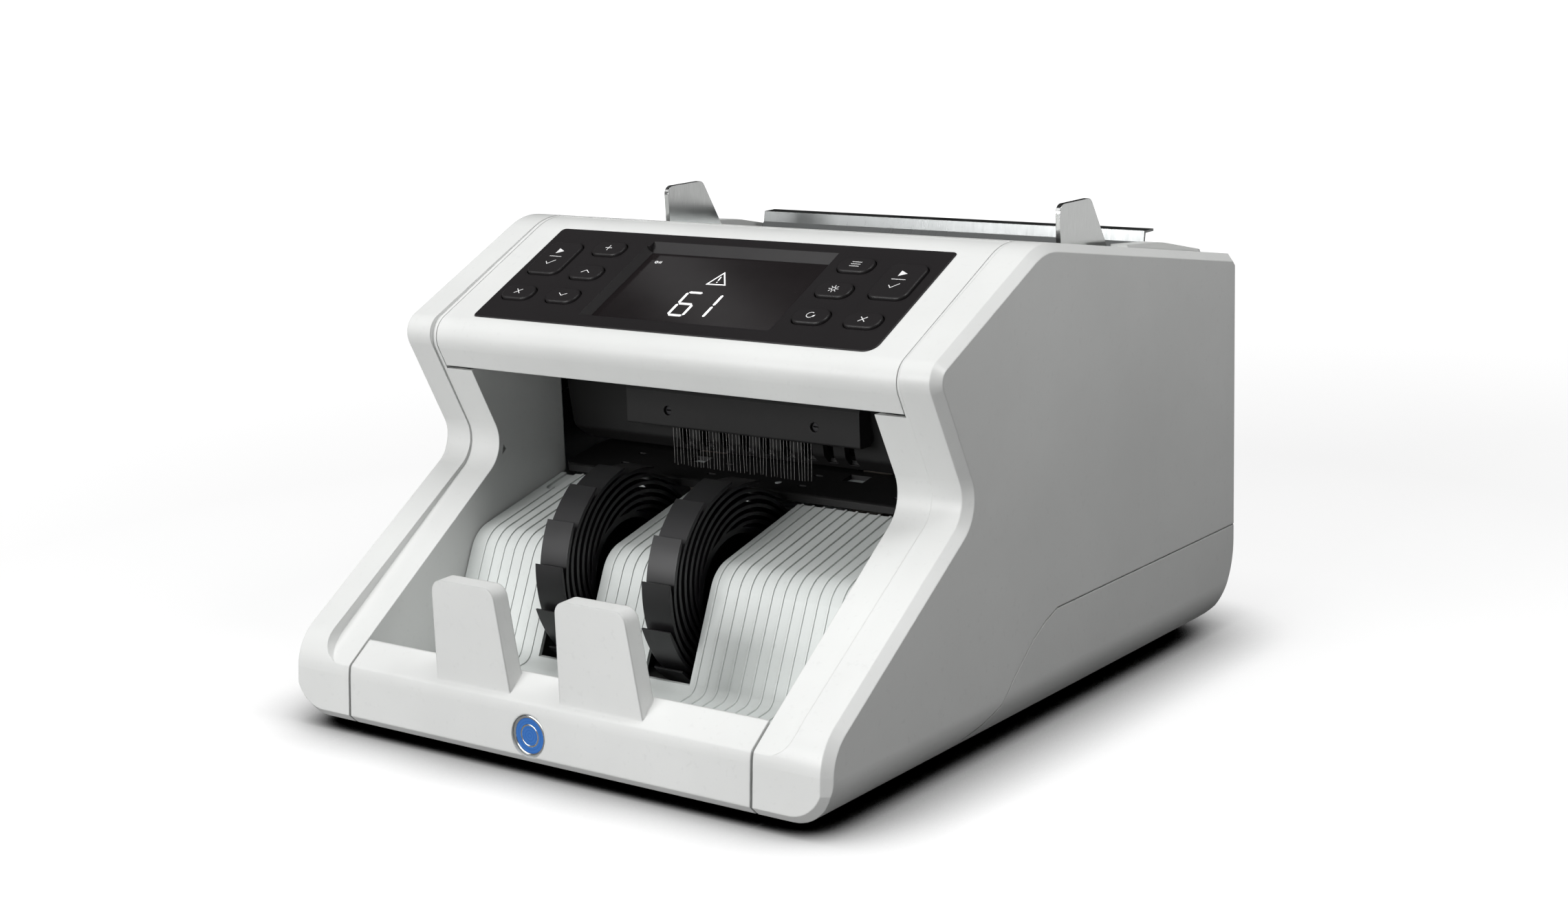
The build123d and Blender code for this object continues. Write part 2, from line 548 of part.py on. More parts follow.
with BuildPart() as upper_path_guide:
    add(curved_guide(24.2, 26.0, -1.4).part)
    for x in (-40, 40):
        for side in (-1, 1):
            low, high = sorted((x + side * 8.2, x + side * 10.6))
            block((low, high), (9.5, 18.5), (89.0, 95.0))
    for x in (-40, 40):
        block((x - 8, x + 8), (5, 23), (80, 95), Mode.SUBTRACT)
        rod(PINCH_AXIS, 2.5 + RUNNING_CLEARANCE, (x - 12, x + 12), Mode.SUBTRACT)
    for x in ROLLER_X:
        block((x - 8, x + 8), (47, 56), (98, 116), Mode.SUBTRACT)
save(upper_path_guide, "upper_path_guide")

# ---- rotating parts -----------------------------------------------------
SHAFT_END = CHASSIS_X + CHASSIS_T + 1.0
BELT_PLANES = ((107.4, 111.4), (112.4, 116.4), (117.4, 121.4))
BELT_T = 1.2
STACKER_PULLEY_R, TRANSPORT_PULLEY_R, FEED_PULLEY_R, MOTOR_PULLEY_R = 18.0, 9.0, 9.0, 6.0
TRANSPORT_ROLLER_R, PINCH_ROLLER_R, FEED_ROLLER_R = 12.0, 6.5, 11.5


def pulley(axis, radius, plane):
    """Belt pulley with a flange each side, inside the current part."""
    rod(axis, radius, plane)
    for low in (plane[0] - 0.4, plane[1] - 0.2):
        rod(axis, radius + 1.6, (low, low + 0.6))


with BuildPart() as stacker_shaft:
    rod(STACKER_AXIS, SHAFT_R, (-SHAFT_END, BELT_PLANES[0][1]))
    pulley(STACKER_AXIS, STACKER_PULLEY_R, BELT_PLANES[0])
save(stacker_shaft, "stacker_shaft")

# (degrees behind the tip, radius) along one blade, from its tip down to the hub ring
BLADE = [(0, 42.0), (8, 40.9), (16, 40.0), (30, 38.6), (50, 36.2), (75, 32.8), (100, 29.6), (130, 25.8), (152, 23.0)]
BLADE_T, TIP_T = 1.4, 0.7
FIRST_TIP = 140.0            # degrees above the rear horizontal
TIP_W, TAPER_ANGLE = 2.0, 36.0


def on_wheel(angle, radius):
    """(y, z) point at an angle and radius about the stacker axis."""
    return STACKER_AXIS[0] + radius * cos(radians(angle)), STACKER_AXIS[1] + radius * sin(radians(angle))


def wheel_blade(low):
    """Curved blade whose left edge runs in diagonally to a narrow tip."""
    outside = [on_wheel(FIRST_TIP + turn, radius) for turn, radius in BLADE]
    inside = [on_wheel(FIRST_TIP + turn, radius - (BLADE_T if turn else TIP_T)) for turn, radius in BLADE]
    with BuildPart() as blade:
        with BuildSketch(Plane.YZ.offset(low)):
            with BuildLine():
                Spline(*outside)
                Spline(*inside)
                Line(outside[0], inside[0])
                Line(outside[-1], inside[-1])
            make_face()
        extrude(amount=WHEEL_W)
        tip = on_wheel(FIRST_TIP, BLADE[0][1])
        full = on_wheel(FIRST_TIP + TAPER_ANGLE, 38.0)
        run = hypot(full[0] - tip[0], full[1] - tip[1])
        along = (0, (full[0] - tip[0]) / run, (full[1] - tip[1]) / run)
        with BuildSketch(Plane(origin=(low, *tip), x_dir=along, z_dir=(0, -along[2], along[1]))):
            with BuildLine():
                Polyline((-6, -1), (-6, WHEEL_W - TIP_W), (0, WHEEL_W - TIP_W), (run, 0), (run, -1), close=True)
            make_face()
        extrude(amount=12, both=True, mode=Mode.SUBTRACT)
    return blade.part


for centre, node in zip(WHEEL_X, ("left_stacker_wheel", "right_stacker_wheel")):
    low = centre - WHEEL_W / 2
    one_blade = wheel_blade(low)
    with BuildPart() as wheel:
        rod(STACKER_AXIS, WHEEL_HUB_R, (low, low + WHEEL_W))
        rod(STACKER_AXIS, WHEEL_BORE_R, (low + 3.5, low + WHEEL_W + 1), Mode.SUBTRACT)
        rod(STACKER_AXIS, 8.0, (low, low + WHEEL_W - 1))
        for k in range(BLADES):
            add(one_blade.rotate(Axis((0, *STACKER_AXIS), (1, 0, 0)), -360 * k / BLADES))
        rod(STACKER_AXIS, SHAFT_R + 0.02, (low - 1, low + WHEEL_W + 1), Mode.SUBTRACT)
    save(wheel, node)

with BuildPart() as transport_shaft:
    rod(TRANSPORT_AXIS, SHAFT_R, (-SHAFT_END, BELT_PLANES[2][1]))
    for plane in BELT_PLANES:
        pulley(TRANSPORT_AXIS, TRANSPORT_PULLEY_R, plane)
save(transport_shaft, "transport_shaft")

with BuildPart() as transport_rollers:
    for x in (-40, 40):
        rod(TRANSPORT_AXIS, TRANSPORT_ROLLER_R, (x - 7, x + 7))
        rod(TRANSPORT_AXIS, SHAFT_R + 0.02, (x - 8, x + 8), Mode.SUBTRACT)
save(transport_rollers, "transport_rollers")

with BuildPart() as pinch_rollers:
    for x in (-40, 40):
        rod(PINCH_AXIS, 2.5, (x - 10.5, x + 10.5))
        rod(PINCH_AXIS, PINCH_ROLLER_R, (x - 6, x + 6))
save(pinch_rollers, "pinch_rollers")

with BuildPart() as feed_shaft:
    rod(FEED_AXIS, SHAFT_R, (-SHAFT_END, BELT_PLANES[1][1]))
    pulley(FEED_AXIS, FEED_PULLEY_R, BELT_PLANES[1])
save(feed_shaft, "feed_shaft")

with BuildPart() as feed_rollers:
    for x in ROLLER_X:
        rod(FEED_AXIS, FEED_ROLLER_R, (x - 8, x + 8))
        rod(FEED_AXIS, SHAFT_R + 0.02, (x - 9, x + 9), Mode.SUBTRACT)
        for groove in (-4, 4):
            rod(FEED_AXIS, FEED_ROLLER_R + 1, (x + groove - 0.6, x + groove + 0.6), Mode.SUBTRACT)
        for groove in (-4, 4):
            rod(FEED_AXIS, FEED_ROLLER_R - 1, (x + groove - 0.6, x + groove + 0.6))
        rod(FEED_AXIS, SHAFT_R + 0.02, (x - 9, x + 9), Mode.SUBTRACT)
save(feed_rollers, "feed_rollers")

RETARD_R = 9.4
with BuildPart() as retard_rollers:
    rod(RETARD_AXIS, 3.0, (-PATH_X, PATH_X))
    for x in ROLLER_X:
        rod(RETARD_AXIS, RETARD_R, (x - 7, x + 7))
save(retard_rollers, "retard_rollers")

with BuildPart() as retard_bracket:
    for side in (-1, 1):
        low, high = sorted((side * 30.5, side * 33.0))
        block((low, high), (28, 47.8), (105, 126.2))
        rod(RETARD_AXIS, 3.05, (low - 1, high + 1), Mode.SUBTRACT)
    block((-33.0, 33.0), (28, 31), (105, 126.2))
save(retard_bracket, "retard_bracket")

# ---- side chassis, bushings, motor and belts ----------------------------
CHASSIS = [((-78, 31), 4), ((-78, 58), 6), ((-20, 102), 6), ((20, 112), 6), ((50, 125), 6), ((100, 125), 6),
           ((135, 62), 6), ((135, 45), 4), ((104, 16), 6), ((-58, 16), 6)]
SHAFTS = (STACKER_AXIS, TRANSPORT_AXIS, FEED_AXIS)
for side, node in ((-1, "left_chassis_plate"), (1, "right_chassis_plate")):
    low = min(side * CHASSIS_X, side * (CHASSIS_X + CHASSIS_T))
    with BuildPart() as chassis:
        extrude(at_x(yz_face(CHASSIS), low), amount=CHASSIS_T)
        for axis in SHAFTS:
            rod(axis, BUSH_R, (low - 1, low + 3), Mode.SUBTRACT)
        if side > 0:
            rod(MOTOR_AXIS, 5.0, (low - 1, low + 3), Mode.SUBTRACT)
        for y, z, width, height in ((60, 74, 60, 30), (-22, 45, 36, 22)):
            with Locations((low + CHASSIS_T / 2, y, z)):
                Box(4, width, height, mode=Mode.SUBTRACT)
    save(chassis, node)

with BuildPart() as shaft_bushings:
    for side in (-1, 1):
        for axis in SHAFTS:
            inner, outer = sorted((side * (CHASSIS_X - 0.8), side * (CHASSIS_X + CHASSIS_T + 0.2)))
            rod(axis, BUSH_R - 0.02, (inner, outer))
            flange = sorted((side * (CHASSIS_X - 0.8), side * (CHASSIS_X - 0.05)))
            rod(axis, BUSH_R + 1.5, flange)
            rod(axis, SHAFT_R + RUNNING_CLEARANCE, (inner - 1, outer + 1), Mode.SUBTRACT)
save(shaft_bushings, "shaft_bushings")

MOTOR_R, MOTOR_SHAFT_R = 16.5, 2.5
with BuildPart() as drive_motor:
    rod(MOTOR_AXIS, MOTOR_R, (40, 98))
    rod(MOTOR_AXIS, 8.0, (98, 100.5))
    chamfer(drive_motor.faces().sort_by(Axis.X)[0].edges(), 1.5)
    rod(MOTOR_AXIS, MOTOR_SHAFT_R + RUNNING_CLEARANCE, (80, 102), Mode.SUBTRACT)
    block((44, 94), (MOTOR_AXIS[0] - 14, MOTOR_AXIS[0] + 14), (20.0, 26.5))
    block((90, 104.3), (MOTOR_AXIS[0] - 14, MOTOR_AXIS[0] + 14), (20.0, 24.5))
save(drive_motor, "drive_motor")

with BuildPart() as motor_rotor:
    rod(MOTOR_AXIS, MOTOR_SHAFT_R, (81, BELT_PLANES[2][1]))
    pulley(MOTOR_AXIS, MOTOR_PULLEY_R, BELT_PLANES[2])
save(motor_rotor, "motor_rotor")


def belt_outline(first, first_r, second, second_r, grow):
    """Convex outline round two pulleys, as a sketch on the YZ plane."""
    span = hypot(second[0] - first[0], second[1] - first[1])
    heading = atan2(second[1] - first[1], second[0] - first[0])
    lean = pi / 2 + atan2(first_r - second_r, span) * -1
    corners = []
    for centre, radius, turn in ((first, first_r, lean), (second, second_r, lean),
                                 (second, second_r, -lean), (first, first_r, -lean)):
        angle = heading + turn
        corners.append((centre[0] + (radius + grow) * cos(angle), centre[1] + (radius + grow) * sin(angle)))
    with BuildSketch(Plane.YZ) as belt:
        with BuildLine():
            Polyline(*corners, close=True)
        make_face()
        with Locations(first):
            Circle(first_r + grow)
        with Locations(second):
            Circle(second_r + grow)
    return belt.sketch


DRIVES = ((BELT_PLANES[0], TRANSPORT_AXIS, TRANSPORT_PULLEY_R, STACKER_AXIS, STACKER_PULLEY_R),
          (BELT_PLANES[1], TRANSPORT_AXIS, TRANSPORT_PULLEY_R, FEED_AXIS, FEED_PULLEY_R),
          (BELT_PLANES[2], TRANSPORT_AXIS, TRANSPORT_PULLEY_R, MOTOR_AXIS, MOTOR_PULLEY_R))


def belt_loop(plane, first, first_r, second, second_r):
    with BuildPart() as loop:
        extrude(at_x(belt_outline(first, first_r, second, second_r, BELT_T), plane[0] + 0.4),
                amount=plane[1] - plane[0] - 0.8)
        extrude(at_x(belt_outline(first, first_r, second, second_r, 0.05), plane[0]),
                amount=plane[1] - plane[0], mode=Mode.SUBTRACT)
    return loop.part


with BuildPart() as drive_belts:
    for drive in DRIVES:
        add(belt_loop(*drive))
save(drive_belts, "drive_belts")

# ---- electronics --------------------------------------------------------
with BuildPart() as main_board:
    block((-68, 28), (-14, 64), (12.2, 13.8))
    for x, y, width, length, height in ((-50, 10, 14, 14, 2.4), (-20, 36, 10, 10, 2.0), (8, 8, 16, 8, 9),
                                        (-58, 50, 8, 18, 10), (16, 46, 10, 10, 14), (-24, 2, 6, 9, 2),
                                        (-2, 54, 24, 6, 9)):
        with Locations((x, y, 13.8 + height / 2)):
            Box(width, length, height)
    for y in (20, 32):
        z_rod(-38, y, 4, (13.8, 26))
    for x, y in BOARD_POSTS:
        z_rod(x, y, 1.6, (10, 20), Mode.SUBTRACT)
save(main_board, "main_board")

with BuildPart() as power_supply:
    block((-98, -46), (78, 132), (16, 42))
    for row in range(6):
        block((-90, -54), (84 + row * 8, 87 + row * 8), (40.5, 45), Mode.SUBTRACT)
save(power_supply, "power_supply")

with BuildPart() as power_inlet:
    block((-97.8, -70.2), (132.0, 147.3), (54.2, 77.8))
    with BuildSketch(Plane.XZ.offset(-147.3)) as socket:
        with BuildLine():
            Polyline((-96, 56.5), (-72, 56.5), (-72, 68.5), (-76.5, 73.5), (-91.5, 73.5), (-96, 68.5), close=True)
        make_face()
    extrude(amount=13, mode=Mode.SUBTRACT)
    for x, z in ((-91, 62), (-77, 62), (-84, 68)):
        block((x - 1, x + 1), (133, 145), (z - 2.3, z + 2.3))
save(power_inlet, "power_inlet")

ROCKER = (144.6, 95.0)
with BuildPart() as power_switch:
    block((-94.0, -74.0), (134.0, 147.4), (88.2, 101.8))
    block((-92.4, -75.6), (136.5, 150), (89.8, 100.2), Mode.SUBTRACT)
    rod(ROCKER, 1.0, (-93.0, -75.0))
save(power_switch, "power_switch")

with BuildPart() as power_rocker:
    extrude(at_x(yz_face([(138.6, 91.6), (145.7, 90.9), (147.3, 94.6), (147.3, 95.2), (146.2, 99.0), (138.6, 98.4)]),
                 -92.0), amount=16.0)
    rod(ROCKER, 1.0 + RUNNING_CLEARANCE, (-95.0, -73.0), Mode.SUBTRACT)
save(power_rocker, "power_rocker")
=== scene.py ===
"""Looks of the banknote counter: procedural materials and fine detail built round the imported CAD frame."""
import json
import math
import random

import bmesh
import bpy
import numpy as np
from mathutils import Matrix, Vector


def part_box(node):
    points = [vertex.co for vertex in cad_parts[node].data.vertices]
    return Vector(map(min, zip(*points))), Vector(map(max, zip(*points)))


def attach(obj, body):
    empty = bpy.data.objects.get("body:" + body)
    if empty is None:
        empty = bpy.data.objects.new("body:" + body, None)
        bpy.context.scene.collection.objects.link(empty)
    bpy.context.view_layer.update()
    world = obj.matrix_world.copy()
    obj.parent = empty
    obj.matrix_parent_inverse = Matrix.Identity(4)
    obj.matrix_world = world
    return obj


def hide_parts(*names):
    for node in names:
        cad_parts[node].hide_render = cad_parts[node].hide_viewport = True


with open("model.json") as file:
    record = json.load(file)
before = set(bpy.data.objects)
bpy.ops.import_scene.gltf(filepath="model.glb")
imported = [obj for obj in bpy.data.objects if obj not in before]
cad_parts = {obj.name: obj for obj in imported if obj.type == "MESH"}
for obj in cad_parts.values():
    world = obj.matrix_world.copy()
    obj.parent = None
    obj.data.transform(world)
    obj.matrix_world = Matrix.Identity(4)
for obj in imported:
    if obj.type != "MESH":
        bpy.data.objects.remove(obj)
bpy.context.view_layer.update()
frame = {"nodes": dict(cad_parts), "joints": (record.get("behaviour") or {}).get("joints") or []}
MM = 0.001
STATIC = "housing"
NODES = frame["nodes"]
JOINTS = {joint["name"]: joint for joint in frame["joints"]}


# ---- material building blocks -------------------------------------------
class Tree:
    """A material's node tree, with short calls for adding nodes and joining them."""

    def __init__(self, name):
        self.material = bpy.data.materials.new(name)
        self.material.use_nodes = True
        self.nodes = self.material.node_tree.nodes
        self.links = self.material.node_tree.links
        self.shader = self.nodes["Principled BSDF"]
        self.place = self.add("ShaderNodeTexCoord").outputs["Object"]

    def add(self, kind, settings=None, **inputs):
        node = self.nodes.new(kind)
        for key, value in (settings or {}).items():
            setattr(node, key, value)
        for key, value in inputs.items():
            self.feed(node, key.replace("_", " "), value)
        return node

    def feed(self, node, socket, value):
        if isinstance(socket, str) and socket.isdigit():
            socket = int(socket)
        target = node.inputs[socket]
        if isinstance(value, bpy.types.NodeSocket):
            self.links.new(value, target)
        else:
            target.default_value = value

    def set(self, **inputs):
        for key, value in inputs.items():
            self.feed(self.shader, key.replace("_", " "), value)

    def noise(self, scale, detail=3.0, rough=0.5, stretch=None):
        place = self.place
        if stretch:
            place = self.add("ShaderNodeMapping", Vector=place, Scale=stretch).outputs[0]
        made = self.add("ShaderNodeTexNoise", Vector=place, Scale=scale, Detail=detail, Roughness=rough)
        return made.outputs["Fac"]

    def ranged(self, value, low, high, from_low=0.0, from_high=1.0):
        made = self.add("ShaderNodeMapRange", Value=value)
        for socket, number in zip((1, 2, 3, 4), (from_low, from_high, low, high)):
            made.inputs[socket].default_value = number
        return made.outputs[0]

    def math(self, operation, first, second=0.0):
        made = self.add("ShaderNodeMath", {"operation": operation})
        self.feed(made, 0, first)
        self.feed(made, 1, second)
        return made.outputs[0]

    def mix(self, share, first, second):
        made = self.add("ShaderNodeMix", {"data_type": "RGBA"})
        self.feed(made, 0, share)
        self.feed(made, 6, first)
        self.feed(made, 7, second)
        return made.outputs[2]

    def bump(self, height, distance, strength=1.0, normal=None):
        made = self.add("ShaderNodeBump", Height=height, Distance=distance, Strength=strength)
        if normal is not None:
            self.feed(made, "Normal", normal)
        return made.outputs[0]

    def rounded(self, radius):
        return self.add("ShaderNodeBevel", {"samples": 4}, Radius=radius).outputs[0]

    def edge_mask(self, radius, low=0.02, high=0.25):
        """1 along convex and concave edges, 0 on flats."""
        bevel = self.rounded(radius)
        face = self.add("ShaderNodeNewGeometry").outputs["Normal"]
        made = self.add("ShaderNodeVectorMath", {"operation": "DOT_PRODUCT"})
        self.feed(made, 0, bevel)
        self.feed(made, 1, face)
        away = self.math("SUBTRACT", 1.0, made.outputs["Value"])
        return self.ranged(away, 0.0, 1.0, low, high)


def rgb(value, tint=(1.0, 1.0, 1.0)):
    return (value * tint[0], value * tint[1], value * tint[2], 1.0)


def shade(colour, factor):
    return tuple(channel * factor for channel in colour[:3]) + (1.0,)


def moulded(name, colour, roughness=0.45, grain=0.00004, grain_scale=2600.0, edge=0.0006, wear=0.25,
            mottling=0.05, specular=0.5, coat=0.0):
    """Injection-moulded plastic: spark-eroded grain, soft edges, faint flow mottling, handled edges."""
    tree = Tree(name)
    cloud = tree.noise(9.0, 4.0, 0.6)
    colour_mix = tree.mix(tree.ranged(cloud, 0.0, 1.0, 0.3, 0.7), shade(colour, 1 - mottling),
                          shade(colour, 1 + mottling))
    speck = tree.noise(420.0, 2.0, 0.5)
    colour_mix = tree.mix(tree.ranged(speck, 0.0, 0.35, 0.62, 0.74), colour_mix, shade(colour, 0.9))
    handled = tree.math("MULTIPLY", tree.edge_mask(edge * 1.6), tree.ranged(cloud, 0.3, 1.0, 0.35, 0.65))
    colour_mix = tree.mix(tree.math("MULTIPLY", handled, wear), colour_mix, shade(colour, 1.25))
    polish = tree.noise(38.0, 5.0, 0.6)
    rough = tree.ranged(polish, roughness * 0.86, roughness * 1.16, 0.25, 0.75)
    rough = tree.math("SUBTRACT", rough, tree.math("MULTIPLY", handled, roughness * 0.35))
    normal = tree.bump(tree.noise(grain_scale, 2.0, 0.6), grain, 0.5, tree.rounded(edge))
    tree.set(Base_Color=colour_mix, Roughness=rough, Specular_IOR_Level=specular, Normal=normal,
             Coat_Weight=coat, Coat_Roughness=0.12)
    return tree.material


def metal(name, colour, roughness, stretch=(1.0, 1.0, 30.0), line_scale=260.0, lines=0.00002, edge=0.0003,
          stain=0.08):
    """Sheet or turned metal: drawn lines, uneven polish and a little staining."""
    tree = Tree(name)
    line = tree.noise(line_scale, 5.0, 0.7, stretch)
    cloud = tree.noise(22.0, 5.0, 0.6)
    tone = tree.mix(tree.ranged(cloud, 0.0, 1.0, 0.3, 0.7),
                    shade(colour, 1 - stain), shade(colour, 1 + stain))
    tone = tree.mix(tree.ranged(line, 0.0, 0.25, 0.35, 0.75), tone, shade(colour, 0.82))
    rough = tree.math("ADD", tree.ranged(line, roughness * 0.75, roughness * 1.25, 0.3, 0.7),
                      tree.ranged(cloud, -0.03, 0.05, 0.3, 0.7))
    normal = tree.bump(line, lines, 0.35, tree.rounded(edge))
    tree.set(Base_Color=tone, Metallic=1.0, Roughness=rough, Normal=normal)
    return tree.material


def rubber(name, colour, roughness=0.75, grain_scale=900.0, grain=0.0001):
    """Elastomer: dull, slightly dusty, with a fine moulded or ground surface."""
    tree = Tree(name)
    cloud = tree.noise(60.0, 5.0, 0.65)
    dusty = tree.mix(tree.ranged(cloud, 0.0, 0.45, 0.42, 0.72), colour, shade(colour, 1.9))
    normal = tree.bump(tree.noise(grain_scale, 3.0, 0.6), grain, 0.6, tree.rounded(0.0004))
    tree.set(Base_Color=dusty, Roughness=tree.ranged(cloud, roughness - 0.08, roughness + 0.1, 0.3, 0.7),
             Normal=normal, Specular_IOR_Level=0.35)
    return tree.material


def window_material():
    """Smoked acrylic over a dark display: deep gloss with faint haze and dust."""
    tree = Tree("smoked_window")
    dust = tree.ranged(tree.noise(1500.0, 2.0, 0.5), 0.0, 1.0, 0.70, 0.78)
    haze = tree.noise(26.0, 4.0, 0.6)
    tone = tree.mix(tree.ranged(haze, 0.0, 0.5, 0.3, 0.7),
                    (0.0085, 0.0068, 0.0072, 1), (0.013, 0.0105, 0.011, 1))
    tone = tree.mix(tree.math("MULTIPLY", dust, 0.12), tone, (0.10, 0.10, 0.10, 1))
    rough = tree.math("ADD", tree.ranged(haze, 0.10, 0.16, 0.3, 0.7), tree.math("MULTIPLY", dust, 0.15))
    tree.set(Base_Color=tone, Roughness=rough, Specular_IOR_Level=0.5,
             Normal=tree.bump(haze, 0.00002, 0.2, tree.rounded(0.0004)))
    return tree.material


def board_material():
    """Solder mask with the darker and lighter lines of tracks under it."""
    tree = Tree("circuit_board")
    tracks = tree.add("ShaderNodeTexBrick", Vector=tree.place, Scale=160.0)
    tracks.inputs["Color1"].default_value = (0.010, 0.10, 0.035, 1)
    tracks.inputs["Color2"].default_value = (0.014, 0.13, 0.045, 1)
    tracks.inputs["Mortar"].default_value = (0.05, 0.26, 0.10, 1)
    tracks.inputs["Mortar Size"].default_value = 0.05
    spots = tree.ranged(tree.noise(240.0, 1.0, 0.5), 0.0, 1.0, 0.68, 0.70)
    tone = tree.mix(spots, tracks.outputs["Color"], (0.55, 0.56, 0.52, 1))
    tree.set(Base_Color=tone, Roughness=tree.ranged(tree.noise(90.0), 0.28, 0.42),
             Normal=tree.bump(tracks.outputs["Fac"], 0.00008, 0.5))
    return tree.material


def print_material():
    """Screen-printed legend ink: slightly uneven, satin."""
    tree = Tree("legend_ink")
    fleck = tree.noise(1800.0, 3.0, 0.6)
    tone = tree.mix(tree.ranged(fleck, 0.0, 1.0, 0.35, 0.7), (0.62, 0.62, 0.62, 1), (0.82, 0.82, 0.82, 1))
    tree.set(Base_Color=tone, Roughness=tree.ranged(fleck, 0.42, 0.6),
             Normal=tree.bump(fleck, 0.00002, 0.5))
    return tree.material


def glow_material():
    """Lit display segments: white, a touch uneven across each one."""
    tree = Tree("lit_segment")
    fleck = tree.noise(700.0, 2.0, 0.5)
    tone = tree.mix(fleck, (0.86, 0.87, 0.88, 1), (1.0, 1.0, 1.0, 1))
    tree.set(Base_Color=(0.8, 0.8, 0.8, 1), Emission_Color=tone,
             Emission_Strength=tree.ranged(fleck, 0.75, 0.9), Roughness=0.4)
    return tree.material


def fibre_material():
    """Conductive brush fibre: dull grey, flecked along its length."""
    tree = Tree("brush_fibre")
    fleck = tree.noise(900.0, 3.0, 0.6, (1.0, 1.0, 0.15))
    tone = tree.mix(fleck, (0.24, 0.235, 0.23, 1), (0.40, 0.39, 0.38, 1))
    tree.set(Base_Color=tone, Roughness=tree.ranged(fleck, 0.35, 0.55))
    return tree.material


def badge_material():
    """Lacquered metal disc, deep blue with a fine turned shimmer under the gloss."""
    tree = Tree("badge_lacquer")
    low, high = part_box("front_badge")
    centre = (low + high) / 2
    moved = tree.add("ShaderNodeMapping", Vector=tree.place, Location=(-centre.x, 0.0, -centre.z)).outputs[0]
    split = tree.add("ShaderNodeSeparateXYZ", Vector=moved)
    across = tree.math("MULTIPLY", split.outputs["X"], split.outputs["X"])
    up = tree.math("MULTIPLY", split.outputs["Z"], split.outputs["Z"])
    radius = tree.math("SQRT", tree.math("ADD", across, up))
    turned = tree.math("SINE", tree.math("MULTIPLY", radius, 2 * math.pi / 0.0011))
    tone = tree.mix(tree.ranged(turned, 0.0, 0.35, -1.0, 1.0), (0.030, 0.155, 0.52, 1), (0.06, 0.26, 0.70, 1))
    tree.set(Base_Color=tone, Roughness=tree.ranged(tree.noise(60.0), 0.22, 0.34), Metallic=0.25,
             Coat_Weight=0.6, Coat_Roughness=0.06,
             Normal=tree.bump(turned, 0.00002, 0.3, tree.rounded(0.0003)))
    return tree.material


def sensor_material():
    """Clear polycarbonate sensor cover over a pale reflector."""
    tree = Tree("sensor_window")
    cloud = tree.noise(140.0, 3.0, 0.5)
    tone = tree.mix(cloud, (0.42, 0.45, 0.45, 1), (0.66, 0.69, 0.69, 1))
    tree.set(Base_Color=tone, Roughness=tree.ranged(cloud, 0.06, 0.16), Specular_IOR_Level=0.7,
             Normal=tree.bump(cloud, 0.00005, 0.4, tree.rounded(0.0003)))
    return tree.material


WHITE = (0.655, 0.662, 0.652)
LOOKS = {
    "shell": moulded("shell_white", WHITE, 0.40, wear=0.12, edge=0.0007),
    "tray": moulded("tray_white", shade(WHITE, 0.985), 0.42, wear=0.12, edge=0.0011),
    "base": moulded("base_white", shade(WHITE, 0.96), 0.48, grain=0.00006, grain_scale=1900.0, wear=0.1),
    "ramp": moulded("ramp_grey", (0.60, 0.625, 0.612), 0.36, grain=0.00003, edge=0.0003, wear=0.15),
    "panel": moulded("panel_anthracite", (0.0135, 0.0122, 0.0128), 0.44, grain=0.00003, edge=0.0003, wear=0.5,
                     mottling=0.08, specular=0.35),
    "key": moulded("key_anthracite", (0.0140, 0.0127, 0.0133), 0.44, grain=0.00002, grain_scale=3400.0,
                   edge=0.0004, wear=0.7, mottling=0.08, specular=0.4),
    "inner": moulded("inner_black", (0.0068, 0.0066, 0.0067), 0.50, grain=0.00005, grain_scale=2200.0,
                     edge=0.0004, wear=0.8, mottling=0.12, specular=0.3),
    "blade": moulded("blade_black", (0.0095, 0.0092, 0.0100), 0.36, grain=0.00001, edge=0.00025, wear=0.9,
                     mottling=0.1),
    "socket": moulded("socket_black", (0.016, 0.016, 0.017), 0.38, wear=0.4, edge=0.0004),
    "guide": metal("guide_steel", (0.70, 0.71, 0.70), 0.16, (0.4, 24.0, 1.0), 130.0, 0.00001),
    "plate": metal("plate_steel", (0.30, 0.31, 0.31), 0.34, (40.0, 1.0, 1.0), 120.0, 0.00001),
    "chassis": metal("zinc_sheet", (0.46, 0.47, 0.48), 0.36, (1.0, 1.0, 6.0), 90.0),
    "shaft": metal("ground_shaft", (0.55, 0.55, 0.56), 0.22, (40.0, 1.0, 1.0), 60.0, 0.00001),
    "supply": metal("folded_aluminium", (0.60, 0.61, 0.62), 0.34, (20.0, 1.0, 1.0), 120.0),
    "bronze": metal("sintered_bronze", (0.46, 0.27, 0.10), 0.42, (1.0, 1.0, 1.0), 600.0, 0.00004),
    "motor": metal("motor_can", (0.075, 0.075, 0.08), 0.40, (18.0, 1.0, 1.0), 110.0),
    "screw": metal("blacked_screw", (0.05, 0.05, 0.052), 0.35, (1.0, 1.0, 1.0), 500.0),
    "foot": rubber("foot_rubber", (0.018, 0.018, 0.019, 1)),
    "roller": rubber("roller_rubber", (0.16, 0.14, 0.125, 1), 0.66, 1400.0, 0.00006),
    "belt": rubber("belt_rubber", (0.014, 0.014, 0.015, 1), 0.6, 1200.0),
    "window": window_material(), "board": board_material(), "ink": print_material(), "lit": glow_material(),
    "fibre": fibre_material(), "badge": badge_material(), "sensor": sensor_material(),
}
